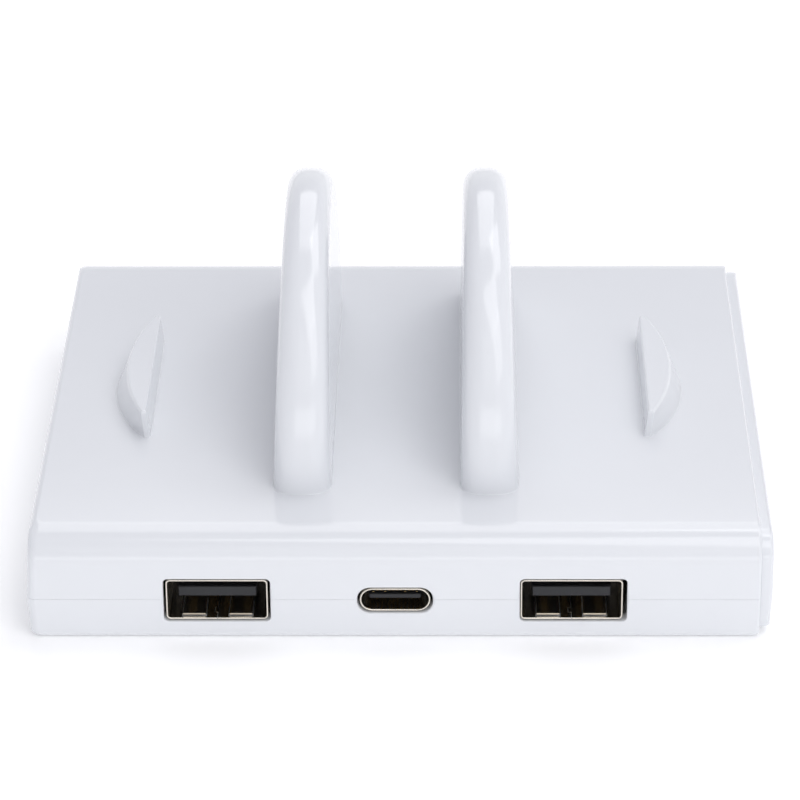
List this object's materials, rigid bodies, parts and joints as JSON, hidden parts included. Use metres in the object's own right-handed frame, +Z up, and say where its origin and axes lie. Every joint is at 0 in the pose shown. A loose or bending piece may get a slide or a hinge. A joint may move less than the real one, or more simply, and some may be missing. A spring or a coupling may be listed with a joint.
{
  "type": "usb wall charger",
  "caption": "Slab-shaped mains USB charger with a device cradle of upright half-disc fins and low stops, USB ports along its front edge and a fold-out two-blade plug.",
  "frame": {"origin": "centre of the flat underside of the slab, on the surface it stands on", "axes": "+X to the right along the row of ports, +Y from the ports to the back, +Z up"},
  "size_m": [0.0942, 0.0826, 0.044],
  "materials": {
    "white_gloss": "high-gloss moulded white plastic",
    "white_plug": "satin white moulded plastic",
    "blade_metal": "nickel-washed brass, lightly brushed",
    "spring_metal": "phosphor bronze strip",
    "steel_shell": "nickel-plated steel sheet",
    "contact_gold": "gold-plated contact strip",
    "black_plastic": "black moulded insulator",
    "screw_steel": "zinc-plated steel",
    "board": "green solder mask",
    "film": "clear insulating film",
    "ferrite": "sintered ferrite",
    "tape": "yellow polyester tape",
    "copper": "enamelled copper wire",
    "sleeve": "printed-free shrink sleeve",
    "can": "bare aluminium can",
    "box_yellow": "yellow moulded box",
    "disc_blue": "blue epoxy dip",
    "chip": "black moulded package",
    "sheet_aluminium": "bent aluminium sheet",
    "wire_black": "black wire insulation",
    "wire_white": "white wire insulation"
  },
  "bodies": {
    "charger_body": {"top_housing": "white_gloss", "bottom_housing": "white_gloss", "plug_end_cap": "white_gloss", "plug_contact_front": "spring_metal", "plug_contact_rear": "spring_metal", "plug_detent_spring": "screw_steel", "usb_a_left_shell": "steel_shell", "usb_a_left_insulator": "black_plastic", "usb_a_left_contact_1": "contact_gold", "usb_a_left_contact_2": "contact_gold", "usb_a_left_contact_3": "contact_gold", "usb_a_left_contact_4": "contact_gold", "usb_a_right_shell": "steel_shell", "usb_a_right_insulator": "black_plastic", "usb_a_right_contact_1": "contact_gold", "usb_a_right_contact_2": "contact_gold", "usb_a_right_contact_3": "contact_gold", "usb_a_right_contact_4": "contact_gold", "usb_c_shell": "steel_shell", "usb_c_insulator": "black_plastic", "circuit_board": "board", "insulating_sheet": "film", "transformer_core_front": "ferrite", "transformer_core_rear": "ferrite", "transformer_bobbin": "black_plastic", "transformer_winding": "tape", "input_capacitor_front": "sleeve", "input_capacitor_rear": "sleeve", "output_capacitor_left": "can", "output_capacitor_right": "can", "suppression_capacitor": "box_yellow", "safety_capacitor": "disc_blue", "choke_core": "ferrite", "choke_winding_left": "copper", "choke_winding_right": "copper", "mains_fuse": "film", "bridge_rectifier": "chip", "power_switch_chip": "chip", "optocoupler": "chip", "output_rectifier_chip": "chip", "port_control_chip": "chip", "output_inductor": "ferrite", "heat_spreader": "sheet_aluminium", "live_wire": "wire_black", "neutral_wire": "wire_white", "housing_screw_1": "screw_steel", "housing_screw_2": "screw_steel", "housing_screw_3": "screw_steel", "housing_screw_4": "screw_steel"},
    "folding_plug": {"plug_carrier": "white_plug", "plug_blade_front": "blade_metal", "plug_blade_rear": "blade_metal"}
  },
  "joints": [
    {"name": "plug_fold", "type": "hinge", "parent": "charger_body", "child": "folding_plug", "pos_m": [0.0434, 0, 0.00375], "axis": [0, -1, 0], "range_deg": [0, 180]}
  ]
}
